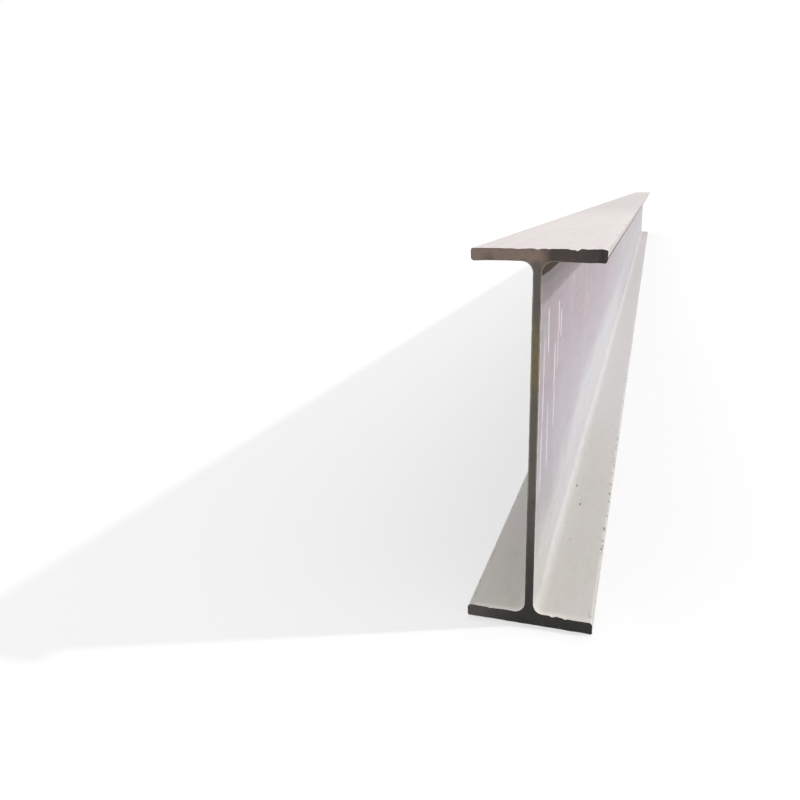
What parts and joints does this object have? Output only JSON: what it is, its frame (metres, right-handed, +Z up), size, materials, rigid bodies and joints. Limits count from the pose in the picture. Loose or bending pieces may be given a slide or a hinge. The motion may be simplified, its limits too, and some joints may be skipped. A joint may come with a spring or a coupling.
{
  "type": "steel h-beam",
  "caption": "Straight hot-rolled steel H-beam with parallel flanges, root fillets and square sawn ends, used as a column, joist or girder.",
  "frame": {"origin": "centre of the underside of the bottom flange, at mid-length", "axes": "+Y along the bar, +X across the flanges, +Z up along the web; the sawn end that the picture shows faces -Y"},
  "size_m": [0.15, 9, 0.45],
  "materials": {
    "hot_rolled_steel": "hot-rolled mill scale, mauve grey and semi-matt, dusty on top, with light rust at edges and on the sawn ends"
  },
  "bodies": {
    "root": {"h_beam": "hot_rolled_steel"}
  },
  "joints": []
}
